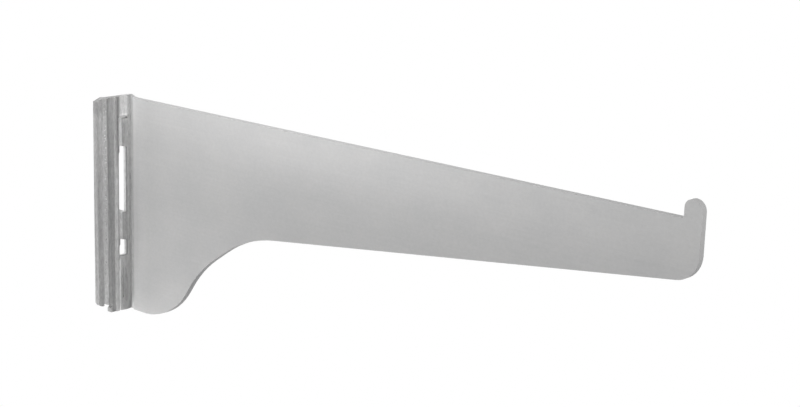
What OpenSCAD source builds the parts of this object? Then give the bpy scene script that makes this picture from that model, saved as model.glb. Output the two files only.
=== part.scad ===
// Slotted shelf bracket: one folded sheet.
// Frame: origin where the rear bearing plane, the middle plane of the hooks and the shelf seat meet.
// +X runs along the arm to the tip, +Y to the side of the arm, +Z up. Millimetres.
// The rear face of the flange is X = 0, the shelf seat is Z = 0 and the hooks are centred on Y = 0.

/* [Sheet] */
// Thickness of the steel sheet
sheet_t = 2.66; // [2.3:0.02:3.0]
// Inside radius of the fold between flange and arm
bend_r = 0.8; // [0.5:0.1:1.2]

/* [Arm] */
// Length of the arm from the front of the flange to the tip
arm_len = 304.8; // [270:0.2:330]
// Depth of the arm at the tip, below the shelf seat
tip_depth = 21.4; // [19:0.2:25]
// Radius of the lower corner at the tip
tip_r = 10; // [6:0.5:12]
// Height of the foot of the arm, below the shelf seat
foot_h = 101; // [98:0.5:104]
// Flat length at the bottom of the foot, from the front of the flange
foot_flat = 7.2; // [6:0.2:10]
// Radius of the toe of the foot
toe_r = 37.7; // [35:0.5:40]
// Steepest angle of the underside, above the toe
toe_angle = 56; // [54:1:58]
// Straight run between the toe and the throat
toe_run = 3; // [1:0.5:4]
// Radius of the lower half of the throat
throat_r = 60.4; // [56:1:64]
// Angle of the underside between the two halves of the throat
throat_angle = 34.6; // [33:0.5:37]
// Straight run between the two halves of the throat
throat_run = 9.1; // [6:0.5:12]
// Radius of the upper half of the throat
throat_top_r = 71; // [65:1:76]

/* [Front stop] */
// Width of the upright stop at the tip, along the arm
stop_w = 7.4; // [7.4:0.1:9]
// Height of the upright stop above the shelf seat
stop_h = 7.1; // [6:0.1:10]
// Corner radius of the stop on the shelf side
stop_in_r = 3.1; // [2:0.1:3.1]
// Corner radius of the stop on the outer side
stop_out_r = 4.2; // [3:0.1:4.2]
// Small radius where the stop meets the shelf seat
stop_foot_r = 0.8; // [0.4:0.1:1.5]

/* [Flange] */
// Distance from the side of the arm to the step before the edge lip
flange_w = 14.8; // [13.5:0.1:17]
// Height of the flange above the shelf seat
flange_rise = 1.35; // [0.8:0.05:2]
// How far the bottom of the flange stops above the bottom of the foot
flange_lift = 1; // [0.5:0.1:2]
// Width of the edge lip
lip_w = 3.25; // [2.5:0.05:4.5]
// How far the edge lip is set back from the flange
lip_back = 2.3; // [1.8:0.1:2.3]
// Drop of the bevel at the upper corner of the edge lip
lip_bevel = 1.8; // [1:0.1:2.5]
// How far the edge lip stops above the bottom of the flange
lip_lift = 3; // [2:0.1:5]
// Radius of the lower corner of the edge lip
lip_r = 2.4; // [1:0.1:2.5]
// Height of the relief slit beside the lower end of the edge lip
relief_h = 2; // [1.8:0.1:2.4]
// How far the relief slit cuts up past the lower end of the edge lip
relief_up = 1; // [0.5:0.1:1.2]
// Depth of the relief slit, measured from the step
relief_w = 2.9; // [2.6:0.1:4]
// How far the small tab under the relief slit is set in from the step
tab_in = 2; // [1:0.1:2.5]
// Width of the two narrow beads on the front of the flange
bead_w = 2.2; // [1.8:0.1:2.5]
// Height of the two narrow beads
bead_h = 0.65; // [0.4:0.05:0.9]
// Width of the broad swell between the window and the fold
swell_w = 6.2; // [5.4:0.1:6.4]
// Height of the broad swell
swell_h = 0.7; // [0.4:0.05:0.9]
// Width of the groove under the window
groove_w = 1.1; // [0.8:0.1:1.4]
// Depth of the groove under the window, below the front of the flange
groove_d = 0.3; // [0.2:0.1:0.8]
// Length of the groove
groove_l = 15; // [10:0.5:16]
// Distance from the window down to the groove
groove_gap = 5; // [4:0.5:7]

/* [Window and hooks] */
// Distance from the side of the arm to the near edge of the window
window_in = 2.6; // [2.5:0.05:3]
// Width of the window that the hooks were folded back out of
window_w = 4.95; // [4.5:0.05:6]
// Depth of the top of the window below the shelf seat
window_top = 8.2; // [7:0.1:12]
// Height of the window
window_h = 65.7; // [63:0.1:72]
// Depth of the top of the upper hook below the shelf seat
hook_top = 9.2; // [8.4:0.1:13]
// Distance from one hook to the next
hook_pitch = 44.2; // [42:0.1:46]
// Height of the neck of a hook
hook_h = 13; // [11:0.1:14]
// Thickness of the wall that the hooks reach over
wall_gap = 3; // [2:0.1:3.5]
// Width of the lip of a hook, behind the wall
hook_lip_w = 3.4; // [3:0.1:4.5]
// Length of the lip of a hook below its neck
hook_lip_h = 5; // [3.5:0.1:5.5]
// Radius of the fillet under the root of a hook
root_r = 1.2; // [0.6:0.1:1.6]

/* [Hidden] */
// Curves are true arcs at this setting
$fn = 96;
// Overlap for cuts
eps = 1;
// Side faces of the arm. The hooks are folded back at the window's edge and centred on y = 0.
arm_y0 = window_in + sheet_t / 2;
arm_y1 = arm_y0 + sheet_t;
// Tip and flange bottom
tip_x = sheet_t + arm_len;
flange_z0 = -foot_h + flange_lift;
step_y = arm_y0 - flange_w;
edge_y = step_y - lip_w;
// Sides of the window
window_y1 = arm_y0 - window_in;
window_y0 = window_y1 - window_w;
// Chain of tangent points along the underside, from the foot to the tip
toe_x = sheet_t + foot_flat;
toe_end = [toe_x + toe_r * sin(toe_angle), -foot_h + toe_r * (1 - cos(toe_angle))];
low_start = toe_end + toe_run * [cos(toe_angle), sin(toe_angle)];
low_c = low_start + throat_r * [sin(toe_angle), -cos(toe_angle)];
low_end = low_c + throat_r * [-sin(throat_angle), cos(throat_angle)];
top_start = low_end + throat_run * [cos(throat_angle), sin(throat_angle)];
top_c = top_start + throat_top_r * [sin(throat_angle), -cos(throat_angle)];
// The arm's lower edge is the tangent from the tip corner to the upper throat circle
to_tip = [tip_x, -tip_depth] - top_c;
arm_angle = atan2(to_tip[1], to_tip[0]) - asin(throat_top_r / norm(to_tip));
top_end = top_c + throat_top_r * [-sin(arm_angle), cos(arm_angle)];
// Lower corner at the tip
tip_c = [tip_x - tip_r, -tip_depth - tip_r * tan(arm_angle) + tip_r / cos(arm_angle)];
tip_a = tip_c + tip_r * [sin(arm_angle), -cos(arm_angle)];
tip_b = [tip_x, tip_c[1]];
// Front stop
stop_x = tip_x - stop_w;

// Sector of a circle between two angles, used to add or cut a true arc. It is a hair larger and
// runs 2 degrees past each end, so that the arc meets its straight neighbours cleanly.
module sector(c, r, from, to) {
    intersection() {
        translate(c) circle(r = r + 0.001);
        polygon([
            c,
            c + 1.6 * r * [cos(from - 2), sin(from - 2)],
            c + 1.6 * r * [cos(to + 2), sin(to + 2)]
        ]);
    }
}

// Side outline of the arm: x is along the arm, y is up
module arm_outline() {
    difference() {
        union() {
            polygon([
                [sheet_t + bend_r, 0],
                [sheet_t + bend_r, -foot_h],
                [toe_x, -foot_h],
                toe_end,
                low_start,
                low_end,
                top_start,
                top_end,
                tip_a,
                tip_b,
                [tip_x, 0]
            ]);
            sector([toe_x, -foot_h + toe_r], toe_r, -90, toe_angle - 90);
            sector(tip_c, tip_r, arm_angle - 90, 0);
            stop_outline();
        }
        sector(low_c, throat_r, throat_angle + 90, toe_angle + 90);
        sector(top_c, throat_top_r, arm_angle + 90, throat_angle + 90);
    }
}

// Quarter of a circle, on the side of its centre that the two signs give
module quarter(c, r, sx, sy) {
    intersection() {
        translate(c) circle(r = r);
        translate(c + (r + eps) * [min(sx, 0), min(sy, 0)]) square(r + eps);
    }
}

// Upright stop at the tip, with its two round corners and its small inner radius
module stop_outline() {
    translate([stop_x, -eps]) square([stop_w, eps + stop_h - stop_out_r]);
    translate([stop_x, -eps]) square([stop_in_r, eps + stop_h - stop_in_r]);
    translate([stop_x + stop_in_r, -eps]) square([stop_w - stop_in_r - stop_out_r, eps + stop_h]);
    quarter([stop_x + stop_in_r, stop_h - stop_in_r], stop_in_r, -1, 1);
    quarter([tip_x - stop_out_r, stop_h - stop_out_r], stop_out_r, 1, 1);
    difference() {
        translate([stop_x - stop_foot_r, -eps]) square([stop_foot_r + eps, eps + stop_foot_r]);
        translate([stop_x - stop_foot_r, stop_foot_r]) circle(r = stop_foot_r);
    }
}

// Plan of the flange with its set-back edge lip and the fold into the arm
module flange_plan() {
    fold_c = [sheet_t + bend_r, arm_y0 - bend_r];
    difference() {
        union() {
            polygon([
                [0, fold_c[1]],
                [0, step_y + 1.3],
                [-lip_back, step_y + 0.7],
                [-lip_back, edge_y],
                [sheet_t - lip_back, edge_y],
                [sheet_t - lip_back, step_y - 0.1],
                [sheet_t, step_y],
                [sheet_t, fold_c[1]]
            ]);
            intersection() {
                translate(fold_c) circle(r = sheet_t + bend_r);
                translate([0, fold_c[1]]) square([fold_c[0], sheet_t + bend_r]);
            }
            translate([fold_c[0], arm_y0]) square([3, sheet_t]);
            bead(step_y + 0.3, bead_w, bead_h);
            bead(window_y0 - bead_w / 2 - 0.4, bead_w, bead_h);
            bead(fold_c[1] - 0.3 - swell_w / 2, swell_w, swell_h);
        }
        translate(fold_c) circle(r = bend_r);
    }
}

// Plan of a raised bead of width w and height h on the front of the flange, centred at y
module bead(y, w, h) {
    r = (w * w / 4 + h * h) / (2 * h);
    intersection() {
        translate([sheet_t + h - r, y]) circle(r = r);
        translate([sheet_t - 0.3, max(step_y, y - w)]) square([h + eps, 2 * w]);
    }
}

// Blank of the flange: plan over the full height, then the ramps, bevels, window and relief
module flange_blank() {
    difference() {
        translate([0, 0, -foot_h]) linear_extrude(height = foot_h + flange_rise) flange_plan();
        top_ramp();
        bottom_ramp();
        lip_cuts();
        relief_cut();
        window_cut();
        groove_cut();
    }
}

// Sloping transition at the fold, from the top of the flange down to the shelf seat
module top_ramp() {
    translate([sheet_t, arm_y0, 0]) rotate([0, 0, 45]) rotate([90, 0, 0])
        linear_extrude(height = 24, center = true) polygon([
            [0, flange_rise],
            [1.3, flange_rise * 0.37],
            [2.4, 0],
            [12, 0],
            [12, flange_rise + eps],
            [0, flange_rise + eps]
        ]);
}

// The flange stops a little above the bottom of the foot, and slopes down to it at the fold
module bottom_ramp() {
    translate([-20, arm_y0 - bend_r - 60, -foot_h - eps]) cube([60, 60, flange_lift + eps]);
    translate([0, 40, 0]) rotate([90, 0, 0]) linear_extrude(height = 80) polygon([
        [-20, -foot_h - eps],
        [-20, flange_z0],
        [sheet_t + bend_r - flange_lift, flange_z0],
        [sheet_t + bend_r, -foot_h],
        [sheet_t + bend_r, -foot_h - eps]
    ]);
}

// Bevel, lower end and round lower corner of the edge lip, seen along the arm
module lip_cuts() {
    lip_z0 = flange_z0 + lip_lift;
    translate([-20, 0, 0]) rotate([90, 0, 90]) linear_extrude(height = 40) {
        polygon([
            [step_y + 1.3, flange_rise + 0.01],
            [edge_y - eps, flange_rise - lip_bevel - lip_bevel * eps / (lip_w + 1.3)],
            [edge_y - eps, flange_rise + eps],
            [step_y + 1.3, flange_rise + eps]
        ]);
        translate([edge_y - eps, -foot_h - eps]) square([lip_w + eps, lip_z0 + foot_h + eps]);
        difference() {
            translate([edge_y - eps, lip_z0 - eps]) square([lip_r + eps, lip_r + eps]);
            translate([edge_y + lip_r, lip_z0 + lip_r]) circle(r = lip_r);
        }
    }
}

// Relief slit between the edge lip and the small tab below it, with a round end
module relief_cut() {
    slit_z0 = flange_z0 + lip_lift + relief_up - relief_h;
    translate([-20, 0, 0]) rotate([90, 0, 90]) linear_extrude(height = 40) {
        translate([step_y - 0.15, slit_z0]) square([relief_w - relief_h / 2 + 0.15, relief_h]);
        translate([step_y + relief_w - relief_h / 2, slit_z0 + relief_h / 2]) circle(d = relief_h);
        translate([step_y - 0.5, -foot_h - eps])
            square([tab_in + 0.5, slit_z0 + foot_h + eps + 0.3]);
    }
}

// Long window beside the hooks, with round corners
module window_cut() {
    corner = 0.8;
    translate([-eps, 0, 0]) rotate([90, 0, 90]) linear_extrude(height = sheet_t + 3 * eps) {
        translate([window_y0 + corner, -window_top - window_h])
            square([window_w - 2 * corner, window_h]);
        translate([window_y0, -window_top - window_h + corner])
            square([window_w, window_h - 2 * corner]);
        for (y = [window_y0 + corner, window_y1 - corner])
            for (z = [-window_top - corner, -window_top - window_h + corner])
                translate([y, z]) circle(r = corner);
    }
}

// Flat groove with round ends, in the swell between the window and the foot
module groove_cut() {
    z1 = -window_top - window_h - groove_gap - groove_w / 2;
    z0 = -window_top - window_h - groove_gap - groove_l + groove_w / 2;
    y = window_y0 + 0.8 + groove_w / 2;
    translate([sheet_t - groove_d, y, 0]) rotate([0, 90, 0]) linear_extrude(height = 5) {
        translate([-z1, -groove_w / 2]) square([z1 - z0, groove_w]);
        for (z = [z1, z0]) translate([-z, 0]) circle(d = groove_w);
    }
}

// Side outline of a hook: top at y = 0, rear face of the flange at x = 0
module hook_outline() {
    rear = -wall_gap - hook_lip_w;
    nose = 1.2;
    polygon([
        [sheet_t + eps, 0],
        [rear + 3, 0],
        [rear, -3],
        [rear, -hook_h - hook_lip_h + nose],
        [rear + nose, -hook_h - hook_lip_h],
        [-wall_gap - nose * 0.6, -hook_h - hook_lip_h],
        [-wall_gap, -hook_h - hook_lip_h + nose],
        [-wall_gap, -hook_h],
        [sheet_t + eps, -hook_h]
    ]);
    translate([rear + 3, -3]) circle(r = 3);
}

// Fillet between the underside of a hook and the edge of the window: x is across, y is up
module root_outline() {
    difference() {
        translate([window_y1 - root_r, -hook_h - root_r]) square([root_r + 0.3, root_r + 0.5]);
        translate([window_y1 - root_r + 0.03, -hook_h - root_r + 0.03]) circle(r = root_r);
    }
}

// Plan of a hook: the sheet folded back about the edge of the window, with no inside radius
module hook_plan() {
    rear = -wall_gap - hook_lip_w;
    translate([rear - eps, -sheet_t / 2]) square([eps - rear, sheet_t]);
    hook_fold_plan();
}

// Plan of the fold at a hook
module hook_fold_plan() {
    intersection() {
        translate([0, window_y1]) circle(r = sheet_t);
        translate([-0.2, -sheet_t / 2 - eps]) square([sheet_t + eps, sheet_t + eps + 0.3]);
    }
}

// Hook number i, counted from the top
module hook(i) {
    translate([0, 0, -hook_top - i * hook_pitch]) {
        intersection() {
            translate([0, sheet_t / 2 + eps, 0]) rotate([90, 0, 0])
                linear_extrude(height = sheet_t + 2 * eps) hook_outline();
            translate([0, 0, -hook_h - hook_lip_h - eps])
                linear_extrude(height = hook_h + hook_lip_h + 2 * eps) hook_plan();
        }
        intersection() {
            rotate([90, 0, 90]) linear_extrude(height = sheet_t) root_outline();
            translate([0, 0, -hook_h - 2 * root_r])
                linear_extrude(height = 3 * root_r) hook_fold_plan();
        }
    }
}

// The whole folded sheet
module bracket() {
    color([0.76, 0.77, 0.78]) union() {
        translate([0, arm_y1, 0]) rotate([90, 0, 0]) linear_extrude(height = sheet_t) arm_outline();
        flange_blank();
        for (i = [0, 1]) hook(i);
    }
}

bracket();
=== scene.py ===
import math
import bmesh
import bpy
from mathutils import Matrix, Vector


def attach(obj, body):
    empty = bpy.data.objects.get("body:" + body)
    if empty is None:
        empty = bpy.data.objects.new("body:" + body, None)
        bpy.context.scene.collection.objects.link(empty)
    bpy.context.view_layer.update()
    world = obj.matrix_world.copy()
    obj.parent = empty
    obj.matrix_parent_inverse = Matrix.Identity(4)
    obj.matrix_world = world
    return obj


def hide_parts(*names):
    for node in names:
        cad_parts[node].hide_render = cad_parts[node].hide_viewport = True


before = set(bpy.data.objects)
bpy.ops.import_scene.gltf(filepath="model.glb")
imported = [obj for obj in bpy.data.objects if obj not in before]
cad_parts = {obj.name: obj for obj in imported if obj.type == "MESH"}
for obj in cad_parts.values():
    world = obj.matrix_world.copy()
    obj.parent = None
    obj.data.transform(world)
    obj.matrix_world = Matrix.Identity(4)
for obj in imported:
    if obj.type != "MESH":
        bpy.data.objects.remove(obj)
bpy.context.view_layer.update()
scene = bpy.context.scene
scene.view_settings.view_transform = "Standard"


# ---- Camera -------------------------------------------------------------------------------------
# A long lens looks down at the near side of the arm, past the open front of the flange.
# Its place and turn were solved from the straight edges of the sheet, so it frames the part as seen.
eye = Vector((0.60526, -0.48527, 0.13950))
turn, dip, tilt = math.radians(41.717), math.radians(13.603), math.radians(1.773)
level = Vector((math.cos(turn), math.sin(turn), 0))
ahead = Vector((-math.sin(turn) * math.cos(dip), math.cos(turn) * math.cos(dip), -math.sin(dip)))
upright = level.cross(ahead)
right = level * math.cos(tilt) + upright * math.sin(tilt)
above = upright * math.cos(tilt) - level * math.sin(tilt)

lens = bpy.data.cameras.new("long_lens")
lens.lens = 76.52
lens.sensor_width = 36
lens.clip_start, lens.clip_end = 0.05, 20
camera = bpy.data.objects.new("long_lens", lens)
scene.collection.objects.link(camera)
camera.matrix_world = Matrix((right, above, -ahead)).transposed().to_4x4()
camera.location = eye
scene.camera = camera


# ---- Folded sheet -------------------------------------------------------------------------------
# The whole bracket is one sheet of 2.66 mm steel, blanked, folded square and then zinc plated.
# Its mesh is a merged copy of the solid, with the sharp rims that blanking leaves taken off.
rim = 0.00016
inner_face, outer_face = 0.00393, 0.00659
window_sides = (-0.00362, 0.00133)
sheet_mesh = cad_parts["bracket"].data.copy()
sheet_mesh.name = "folded_sheet"


def is_sheared(face):
    """True for a face that the blanking tool cut, not one that the rolling mill made."""
    normal, middle = face.normal, face.calc_center_median()
    if middle.x > 0.0037 or middle.x < -0.0005:
        return abs(normal.y) < 0.5
    at_window = any(abs(middle.y - side) < 0.0001 for side in window_sides)
    at_free_edge = middle.y < -0.014
    return abs(normal.z) > 0.5 or (abs(normal.y) > 0.9 and (at_window or at_free_edge))


bm = bmesh.new()
bm.from_mesh(sheet_mesh)
bmesh.ops.remove_doubles(bm, verts=bm.verts, dist=2e-6)
bmesh.ops.dissolve_limit(
    bm, angle_limit=math.radians(0.4), use_dissolve_boundaries=False, verts=bm.verts, edges=bm.edges
)
for face in bm.faces:
    face.smooth = True
    face.material_index = 1 if is_sheared(face) else 0
for edge in bm.edges:
    edge.smooth = edge.calc_face_angle(0) < math.radians(26)
bm.to_mesh(sheet_mesh)
bm.free()

folded_sheet = bpy.data.objects.new("folded_sheet", sheet_mesh)
scene.collection.objects.link(folded_sheet)
rims = folded_sheet.modifiers.new("rims", "BEVEL")
rims.width = rim
rims.segments = 2
rims.limit_method = "ANGLE"
rims.angle_limit = math.radians(30)
rims.use_clamp_overlap = True
rims.harden_normals = True
rims.material = 2


def add(tree, kind, options=None, **inputs):
    """Adds a node. An input is a value, or another node's output to link."""
    made = tree.nodes.new(kind)
    for name, value in (options or {}).items():
        setattr(made, name, value)
    for name, value in inputs.items():
        socket = made.inputs[int(name[1:])] if name[0] == "i" and name[1:].isdigit() else made.inputs[name]
        if isinstance(value, bpy.types.NodeSocket):
            tree.links.new(value, socket)
        else:
            socket.default_value = value
    return made


def math_node(tree, operation, a, b):
    return add(tree, "ShaderNodeMath", {"operation": operation}, i0=a, i1=b).outputs[0]


def shaded(tree, tone, share):
    """Makes a tone lighter by a share of itself, or darker where the share is below nought."""
    return math_node(tree, "MULTIPLY", tone, math_node(tree, "ADD", 1.0, share))


def ramp(tree, value, low, high, stops):
    """Grey level along a coordinate from low to high, with stops at (place, level) between them."""
    share = add(tree, "ShaderNodeMapRange", None, i0=value, i1=low, i2=high).outputs[0]
    made = add(tree, "ShaderNodeValToRGB", None, i0=share)
    made.color_ramp.interpolation = "LINEAR"
    while len(made.color_ramp.elements) < len(stops):
        made.color_ramp.elements.new(0.5)
    for element, (place, level) in zip(made.color_ramp.elements, stops):
        element.position = (place - low) / (high - low)
        element.color = (level, level, level, 1)
    return made.outputs[0]


def noise(tree, place, stretch, detail, roughness):
    """Even noise from about 0 to 1, with its grains per metre along each axis."""
    spread = add(tree, "ShaderNodeMapping", None, Vector=place, Scale=stretch).outputs[0]
    return add(
        tree, "ShaderNodeTexNoise", None, Vector=spread, Scale=1.0, Detail=detail, Roughness=roughness
    ).outputs[0]


def around_one(tree, value, swing):
    """Turns noise into a factor that swings about one."""
    return add(
        tree, "ShaderNodeMapRange", None, i0=value, i1=0.3, i2=0.7, i3=1 - swing, i4=1 + swing
    ).outputs[0]


def zinc(name, metal, hook_light_and_shade, thickness_bands, rough, streak, wear):
    """Zinc plate in one finish, with painted light and shade. The painted shade of the flange follows the
    profile of the fold.
    """
    made = bpy.data.materials.new(name)
    made.use_nodes = True
    tree = made.node_tree
    shader = tree.nodes["Principled BSDF"]
    shader.inputs["Metallic"].default_value = metal
    place = add(tree, "ShaderNodeTexCoord").outputs["Object"]
    split = add(tree, "ShaderNodeSeparateXYZ", None, i0=place).outputs
    x, y, z = split[0], split[1], split[2]

    # From the free edge, over the flange and through the fold, x + y only ever grows.
    along_profile = math_node(tree, "ADD", x, y)
    # At the foot the shade of the fold bends away from it.
    bent = add(tree, "ShaderNodeMapRange", None, i0=z, i1=-0.093, i2=-0.1, i3=0.0, i4=0.0014).outputs[0]
    in_front = add(tree, "ShaderNodeMapRange", None, i0=x, i1=0.0019, i2=0.0023).outputs[0]
    # Painted shade darkens the inside of the fold, and painted light brightens the arm just beside it.
    tone = ramp(tree, math_node(tree, "ADD", along_profile, bent), 0.0040, 0.045, fold_shade_and_light)
    tone = add(tree, "ShaderNodeMix", {"data_type": "FLOAT"}, i0=in_front, i2=1.0, i3=tone).outputs[0]
    # The painted shade of the flange, darker than the arm and in bands across its profile, leans a little,
    # away from its free edge towards the foot.
    lean = math_node(tree, "MULTIPLY", math_node(tree, "ADD", z, 0.012), 0.027)
    leaning = math_node(tree, "ADD", along_profile, lean)
    tone = math_node(tree, "MULTIPLY", tone, ramp(tree, leaning, -0.0180, 0.0045, flange_painted_shade))
    # Painted shade lies in the crease beside the window near the top. Further down, painted light lifts the
    # shaded flank beside it.
    crease = ramp(tree, along_profile, -0.0037, 0.0, [(-0.0037, 0), (-0.0031, 1), (-0.0008, 1), (0.0, 0)])
    crease_shade = add(tree, "ShaderNodeMapRange", None, i0=z, i1=-0.030, i2=-0.014, i3=0.0, i4=-0.34).outputs[0]
    crease_shade = math_node(tree, "MULTIPLY", math_node(tree, "MULTIPLY", crease, in_front), crease_shade)
    tone = shaded(tree, tone, crease_shade)
    crease = ramp(tree, along_profile, -0.0026, 0.0, [(-0.0026, 0), (-0.0020, 1), (-0.0008, 1), (0.0, 0)])
    flank_light = add(tree, "ShaderNodeMapRange", None, i0=z, i1=-0.024, i2=-0.038, i3=0.0, i4=0.42).outputs[0]
    flank_light = math_node(tree, "MULTIPLY", math_node(tree, "MULTIPLY", crease, in_front), flank_light)
    tone = shaded(tree, tone, flank_light)
    # The top of the lip is darker, and painted shade lies beside the groove at the foot.
    lip = add(tree, "ShaderNodeMapRange", None, i0=along_profile, i1=-0.0072, i2=-0.0090).outputs[0]
    dark_band = add(tree, "ShaderNodeMapRange", None, i0=z, i1=-0.009, i2=-0.004, i3=0.0, i4=-0.2).outputs[0]
    tone = shaded(tree, tone, math_node(tree, "MULTIPLY", lip, dark_band))
    beside = ramp(tree, along_profile, -0.0006, 0.0048, [(-0.0006, 0), (0.0006, 1), (0.0034, 1), (0.0048, 0)])
    dark_band = ramp(tree, z, -0.1, -0.074, [(-0.1, 0), (-0.096, 1), (-0.084, 1), (-0.079, 0.5), (-0.074, 0)])
    dark_band = math_node(tree, "MULTIPLY", math_node(tree, "MULTIPLY", beside, dark_band), -0.24)
    tone = shaded(tree, tone, dark_band)
    # Painted light brightens the swell above the window.
    crown = ramp(tree, along_profile, -0.0006, 0.0056, [(-0.0006, 0), (0.0014, 1), (0.0036, 1), (0.0056, 0)])
    swell_light = ramp(tree, z, -0.012, 0.0, [(-0.012, 0), (-0.008, 1)])
    swell_light = math_node(tree, "MULTIPLY", math_node(tree, "MULTIPLY", crown, swell_light), 0.25)
    tone = shaded(tree, tone, swell_light)
    # A painted highlight and a line of painted shade run across it, just above the window.
    highlight_and_shade = math_node(tree, "SUBTRACT", ramp(tree, z, -0.0086, -0.0064, window_highlight_and_shade), 0.5)
    highlight_and_shade = math_node(tree, "MULTIPLY", math_node(tree, "MULTIPLY", crown, highlight_and_shade), 0.9)
    tone = shaded(tree, tone, highlight_and_shade)
    # Painted light makes the top of the arm brighter, fading downwards.
    tone = math_node(tree, "MULTIPLY", tone, ramp(tree, z, -0.06, 0.0, top_painted_light))
    # Painted shade darkens the lower side of the arm in the middle of its length.
    middle = ramp(tree, x, 0.03, 0.28, [(0.03, 0), (0.11, 1), (0.19, 0.8), (0.28, 0)])
    mid_arm_shade = add(tree, "ShaderNodeMapRange", None, i0=z, i1=-0.012, i2=-0.026, i3=0.0, i4=-0.1).outputs[0]
    tone = shaded(tree, tone, math_node(tree, "MULTIPLY", middle, mid_arm_shade))
    # Painted light brightens the hooks behind the flange, and painted shade darkens the fold beside them.
    hook_tone = ramp(tree, x, -0.003, 0.0045, hook_light_and_shade)
    at_hooks = add(tree, "ShaderNodeMapRange", None, i0=y, i1=-0.0044, i2=-0.0037).outputs[0]
    above_foot = add(tree, "ShaderNodeMapRange", None, i0=z, i1=-0.0765, i2=-0.0750).outputs[0]
    below_top = add(tree, "ShaderNodeMapRange", None, i0=z, i1=-0.0070, i2=-0.0080).outputs[0]
    at_hooks = math_node(tree, "MULTIPLY", at_hooks, below_top)
    # At the foot below the window, painted light brightens the groove.
    groove = ramp(tree, x, 0.0018, 0.0028, [(0.0018, 1.0), (0.0022, 1.6), (0.00255, 1.6), (0.0028, 1.0)])
    hook_tone = add(
        tree, "ShaderNodeMix", {"data_type": "FLOAT"}, i0=above_foot, i2=groove, i3=hook_tone
    ).outputs[0]
    inside = add(tree, "ShaderNodeMapRange", None, i0=y, i1=0.0017, i2=0.0014).outputs[0]
    at_hooks = math_node(tree, "MULTIPLY", at_hooks, inside)
    hook_tone = add(
        tree, "ShaderNodeMix", {"data_type": "FLOAT"}, i0=at_hooks, i2=1.0, i3=hook_tone
    ).outputs[0]
    tone = math_node(tree, "MULTIPLY", tone, hook_tone)
    if thickness_bands:
        along_arm = ramp(tree, y, inner_face, outer_face, thickness_bands[0])
        at_tip = ramp(tree, y, inner_face, outer_face, thickness_bands[1])
        tip = add(tree, "ShaderNodeMapRange", None, i0=x, i1=0.2985, i2=0.2995).outputs[0]
        bands = add(tree, "ShaderNodeMix", {"data_type": "FLOAT"}, i0=tip, i2=along_arm, i3=at_tip).outputs[0]
        tone = math_node(tree, "MULTIPLY", tone, bands)
        # Painted light brightens the round top of the stop.
        tone = math_node(tree, "MULTIPLY", tone, ramp(tree, z, 0.0, 0.0071, stop_painted_light))

    clouds = noise(tree, place, (55, 55, 70), 3, 0.6)
    grain = noise(tree, place, (700, 700, 900), 2, 0.7)
    rolled = noise(tree, place, (30, 900, 1500), 3, 0.65)
    tone = math_node(tree, "MULTIPLY", tone, around_one(tree, clouds, 0.025))
    tone = math_node(tree, "MULTIPLY", tone, around_one(tree, grain, 0.03))
    tone = math_node(tree, "MULTIPLY", tone, around_one(tree, rolled, 0.018))
    # The flange went through more tools, so it is streaked and scuffed along its height.
    on_flange = add(
        tree, "ShaderNodeMapRange", None, i0=along_profile, i1=0.0085, i2=0.0055
    ).outputs[0]
    streaks = noise(tree, place, (1000, 1000, 330), 4, 0.8)
    scuffs = add(tree, "ShaderNodeMapRange", None, i0=streaks, i1=0.35, i2=0.65, i3=1 - streak, i4=1 + streak)
    scuffs = add(
        tree, "ShaderNodeMix", {"data_type": "FLOAT"}, i0=on_flange, i2=1.0, i3=scuffs.outputs[0]
    ).outputs[0]
    tone = math_node(tree, "MULTIPLY", tone, scuffs)

    tint = add(tree, "ShaderNodeMix", {"data_type": "RGBA"}, i0=clouds, i6=cool_zinc, i7=warm_zinc)
    shade = add(tree, "ShaderNodeVectorMath", {"operation": "SCALE"}, i0=tint.outputs[2], Scale=tone)
    tree.links.new(shade.outputs[0], shader.inputs["Base Color"])

    polish = rough
    for pattern, swing in ((streaks, 0.25), (clouds, 0.12)):
        change = math_node(tree, "MULTIPLY", math_node(tree, "SUBTRACT", pattern, 0.5), swing)
        polish = math_node(tree, "ADD", polish, change)
    tree.links.new(polish, shader.inputs["Roughness"])

    relief = math_node(tree, "ADD", math_node(tree, "MULTIPLY", rolled, 0.5), grain)
    relief = math_node(tree, "ADD", relief, math_node(tree, "MULTIPLY", streaks, on_flange))
    bump = add(tree, "ShaderNodeBump", None, Strength=wear, Distance=0.00006, Height=relief)
    tree.links.new(bump.outputs[0], shader.inputs["Normal"])
    return made


cool_zinc, warm_zinc = (0.553, 0.556, 0.560, 1), (0.566, 0.561, 0.556, 1)
# Painted highlight and painted shade across the swell just above the window.
window_highlight_and_shade = [
    (-0.0086, 0.5),
    (-0.0081, 0.25),
    (-0.0077, 0.25),
    (-0.0074, 0.8),
    (-0.0070, 0.8),
    (-0.0064, 0.5),
]
# Painted light, stronger towards the top of the arm.
top_painted_light = [(-0.06, 0.80), (-0.042, 0.80), (-0.02, 0.87), (-0.008, 0.93), (0.0, 0.97)]
# Painted light on the hooks behind the flange, painted shade in the fold beside them.
hook_light_and_shade = [
    (-0.003, 1.3),
    (-0.0001, 2.1),
    (0.0010, 2.2),
    (0.0014, 1.3),
    (0.0017, 0.62),
    (0.0025, 0.66),
    (0.0028, 1.0),
    (0.0045, 1.0),
]
# Painted shade across the profile of the flange.
flange_painted_shade = [
    (-0.0180, 0.95),
    (-0.0172, 0.72),
    (-0.0160, 0.92),
    (-0.0150, 0.76),
    (-0.0138, 0.74),
    (-0.0120, 0.93),
    (-0.0112, 0.92),
    (-0.0100, 0.84),
    (-0.0080, 0.76),
    (-0.0074, 0.59),
    (-0.0060, 0.64),
    (-0.0044, 0.70),
    (-0.0034, 0.74),
    (-0.0020, 0.78),
    (0.0020, 0.82),
    (0.0045, 0.96),
]
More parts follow.
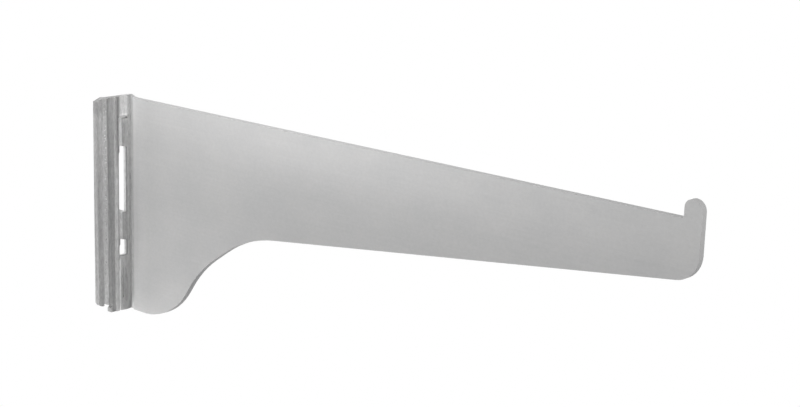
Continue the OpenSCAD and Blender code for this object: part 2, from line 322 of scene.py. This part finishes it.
# Painted shade in the fold, painted light on the arm beside it.
fold_shade_and_light = [
    (0.0040, 1.0),
    (0.0054, 0.82),
    (0.0062, 0.62),
    (0.0068, 0.66),
    (0.0073, 0.94),
    (0.0080, 1.24),
    (0.0088, 1.24),
    (0.0100, 1.15),
    (0.018, 1.05),
    (0.045, 1.0),
]
arm_bands = [(0.00393, 1.0), (0.0048, 1.0), (0.0054, 0.74), (0.00659, 0.74)]
tip_bands = [(0.00393, 0.60), (0.0045, 0.62), (0.0052, 1.0), (0.00659, 1.0)]
# Painted light on the round top of the stop.
stop_painted_light = [(0.0, 1.0), (0.0022, 1.0), (0.0036, 1.7), (0.0071, 1.75)]
# Painted light on the cut faces and rims at the hooks.
cut_edge_hook_light = [
    (-0.003, 1.35),
    (-0.0002, 1.2),
    (0.0, 0.95),
    (0.0009, 1.1),
    (0.0016, 1.7),
    (0.0026, 1.4),
    (0.0045, 1.0),
]
sheet_mesh.materials.clear()
sheet_mesh.materials.append(zinc("rolled_zinc", 0.25, hook_light_and_shade, None, 0.50, 0.19, 0.25))
sheet_mesh.materials.append(
    zinc("sheared_zinc", 0.25, cut_edge_hook_light, (arm_bands, tip_bands), 0.5, 0.1, 0.6)
)
sheet_mesh.materials.append(zinc("worn_rim", 0.4, cut_edge_hook_light, None, 0.40, 0.05, 0.1))
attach(folded_sheet, "root")
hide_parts("bracket")


# ---- Zinc nodules -------------------------------------------------------------------------------
# Where the free edge steps back, the shear left a rough burr, and the plating bath built it up
# into small nodules of zinc. They are scattered along the step, a fraction of a millimetre high.
step_face, nodule_size = -0.01087, 0.00024
nodule_foot, nodule_length, nodule_count = -0.0945, 0.095, 300

nodule_zinc = bpy.data.materials.new("nodule_zinc")
nodule_zinc.use_nodes = True
tree = nodule_zinc.node_tree
shader = tree.nodes["Principled BSDF"]
shader.inputs["Metallic"].default_value = 0.35
place = add(tree, "ShaderNodeTexCoord").outputs["Object"]
patches = noise(tree, place, (500, 500, 420), 3, 0.7)
spots = add(tree, "ShaderNodeMapRange", None, i0=patches, i1=0.36, i2=0.64).outputs[0]
bright = add(
    tree, "ShaderNodeMix", {"data_type": "RGBA"}, i0=spots, i6=(0.25, 0.25, 0.25, 1), i7=(0.98, 0.98, 0.97, 1)
).outputs[2]
height = add(tree, "ShaderNodeSeparateXYZ", None, i0=place).outputs[2]
# Painted shade makes the nodules darker towards the bottom.
nodule_shade = ramp(tree, height, -0.1, 0.0, [(-0.1, 0.52), (-0.06, 0.62), (-0.03, 0.92), (0.0, 0.95)])
bright = add(tree, "ShaderNodeVectorMath", {"operation": "SCALE"}, i0=bright, Scale=nodule_shade).outputs[0]
tree.links.new(bright, shader.inputs["Base Color"])
polish = add(tree, "ShaderNodeMapRange", None, i0=patches, i1=0.3, i2=0.7, i3=0.55, i4=0.35).outputs[0]
tree.links.new(polish, shader.inputs["Roughness"])
pitting = noise(tree, place, (5000, 5000, 5000), 2, 0.6)
pits = add(tree, "ShaderNodeBump", None, Strength=0.4, Distance=0.00005, Height=pitting)
tree.links.new(pits.outputs[0], shader.inputs["Normal"])

grower = bpy.data.node_groups.new("nodule_line", "GeometryNodeTree")
face = grower.interface
face.new_socket("Geometry", in_out="INPUT", socket_type="NodeSocketGeometry")
inputs = {}
for name, kind, value in (
    ("Count", "NodeSocketInt", nodule_count),
    ("Foot", "NodeSocketVector", (0.0016, step_face + 0.00006, nodule_foot)),
    ("Length", "NodeSocketFloat", nodule_length),
    ("Spread", "NodeSocketVector", (0.0011, 0.00005, 0.0006)),
    ("Size", "NodeSocketFloat", nodule_size),
    ("Seed", "NodeSocketInt", 7),
):
    socket = face.new_socket(name, in_out="INPUT", socket_type=kind)
    inputs[name] = (socket.identifier, value)
face.new_socket("Geometry", in_out="OUTPUT", socket_type="NodeSocketGeometry")
given = grower.nodes.new("NodeGroupInput")
result = grower.nodes.new("NodeGroupOutput")


def grow(kind, options=None, **wires):
    return add(grower, kind, options, **wires)


pitch = math_node(grower, "DIVIDE", given.outputs["Length"], given.outputs["Count"])
step = grow("ShaderNodeCombineXYZ", None, Z=pitch)
line = grow(
    "GeometryNodeMeshLine", None, Count=given.outputs["Count"], i2=given.outputs["Foot"], i3=step.outputs[0]
)
back = grow("ShaderNodeVectorMath", {"operation": "SCALE"}, i0=given.outputs["Spread"], Scale=-1.0)
scatter = grow(
    "FunctionNodeRandomValue", {"data_type": "FLOAT_VECTOR"},
    i0=back.outputs[0], i1=given.outputs["Spread"], Seed=given.outputs["Seed"],
)
moved = grow("GeometryNodeSetPosition", None, Geometry=line.outputs[0], Offset=scatter.outputs[0])
grain = grow("GeometryNodeMeshIcoSphere", None, Radius=given.outputs["Size"], Subdivisions=2)
widths = grow(
    "FunctionNodeRandomValue", {"data_type": "FLOAT_VECTOR"},
    i0=(0.45, 0.45, 0.6), i1=(1.1, 0.9, 1.9), Seed=given.outputs["Seed"],
)
placed = grow(
    "GeometryNodeInstanceOnPoints", None,
    Points=moved.outputs[0], Instance=grain.outputs[0], Scale=widths.outputs[0],
)
solid = grow("GeometryNodeRealizeInstances", None, Geometry=placed.outputs[0])
smooth = grow("GeometryNodeSetShadeSmooth", None, Geometry=solid.outputs[0])
dressed = grow("GeometryNodeSetMaterial", None, Geometry=smooth.outputs[0], Material=nodule_zinc)
grower.links.new(dressed.outputs[0], result.inputs[0])

seedbed = bpy.data.objects.new("nodule_seedbed", bpy.data.meshes.new("nodule_seedbed"))
scene.collection.objects.link(seedbed)
growth = seedbed.modifiers.new("growth", "NODES")
growth.node_group = grower
for identifier, value in inputs.values():
    growth[identifier] = value
bpy.context.view_layer.update()
grown = seedbed.evaluated_get(bpy.context.evaluated_depsgraph_get())
nodule_mesh = bpy.data.meshes.new_from_object(grown)
bpy.data.objects.remove(seedbed)
nodule_mesh.name = "zinc_nodules"
zinc_nodules = bpy.data.objects.new("zinc_nodules", nodule_mesh)
scene.collection.objects.link(zinc_nodules)
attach(zinc_nodules, "root")


# ---- Floor and light ----------------------------------------------------------------------------
# A plain pale floor lies well below the part, and the surround is white. A large soft lamp stands on the
# camera's side, strips above and below even out the sheet, and small ones light the stop and the far side.
floor_mesh = bpy.data.meshes.new("floor")
s, z = 0.6, -0.6
floor_mesh.from_pydata([(-s, -s, z), (s, -s, z), (s, s, z), (-s, s, z)], [], [(0, 1, 2, 3)])
floor = bpy.data.objects.new("floor", floor_mesh)
scene.collection.objects.link(floor)
paper = bpy.data.materials.new("pale_floor")
paper.use_nodes = True
paper.node_tree.nodes["Principled BSDF"].inputs["Base Color"].default_value = (0.8, 0.8, 0.8, 1)
paper.node_tree.nodes["Principled BSDF"].inputs["Roughness"].default_value = 0.9
floor_mesh.materials.append(paper)


def softbox(name, place, aim, width, height, watts):
    light = bpy.data.lights.new(name, "AREA")
    light.shape = "RECTANGLE"
    light.size, light.size_y = width, height
    light.energy = watts
    lamp = bpy.data.objects.new(name, light)
    scene.collection.objects.link(lamp)
    lamp.location = place
    lamp.rotation_mode = "QUATERNION"
    lamp.rotation_quaternion = (Vector(aim) - Vector(place)).to_track_quat("-Z", "Y")
    lamp.visible_camera = False
    return lamp


softbox("key", (0.9, -1.1, 0.35), (0.13, 0, -0.03), 0.6, 0.6, 7.2)
softbox("strip_above", (0.085, -0.085, 0.118), (0.085, 0, -0.02), 0.22, 0.03, 0.27)
softbox("strip_below", (0.01, -0.12, -0.22), (0.01, 0, -0.09), 0.12, 0.03, 0.26)
softbox("low_right", (0.25, -0.40, -0.35), (0.08, 0, -0.06), 0.3, 0.2, 0.22)
softbox("right", (0.9, -0.1, 0.1), (0, 0, -0.05), 0.5, 0.5, 0.6)
softbox("behind", (-0.1, 1.2, -0.35), (0.12, 0, -0.04), 0.7, 0.4, 4.0)
softbox("stop", (0.40, 0.005, 0.07), (0.303, 0.005, 0.004), 0.03, 0.03, 0.03)

surround = bpy.data.worlds.new("white_surround")
scene.world = surround
surround.use_nodes = True
tree = surround.node_tree
sky = tree.nodes["Background"]
sky.inputs["Color"].default_value = (1, 1, 1, 1)
rays = tree.nodes.new("ShaderNodeLightPath")
seen = tree.nodes.new("ShaderNodeMath")
seen.operation = "MAXIMUM"
clear = tree.nodes.new("ShaderNodeMath")
clear.operation = "MAXIMUM"
strength = tree.nodes.new("ShaderNodeMapRange")
strength.inputs["To Min"].default_value = 0.15
strength.inputs["To Max"].default_value = 1.0
tree.links.new(rays.outputs["Is Camera Ray"], seen.inputs[0])
tree.links.new(rays.outputs["Is Glossy Ray"], seen.inputs[1])
tree.links.new(seen.outputs[0], clear.inputs[0])
tree.links.new(rays.outputs["Is Transmission Ray"], clear.inputs[1])
tree.links.new(clear.outputs[0], strength.inputs["Value"])
tree.links.new(strength.outputs["Result"], sky.inputs["Strength"])


# ---- Last update of the scene -------------------------------------------------------------------
bpy.context.view_layer.update()
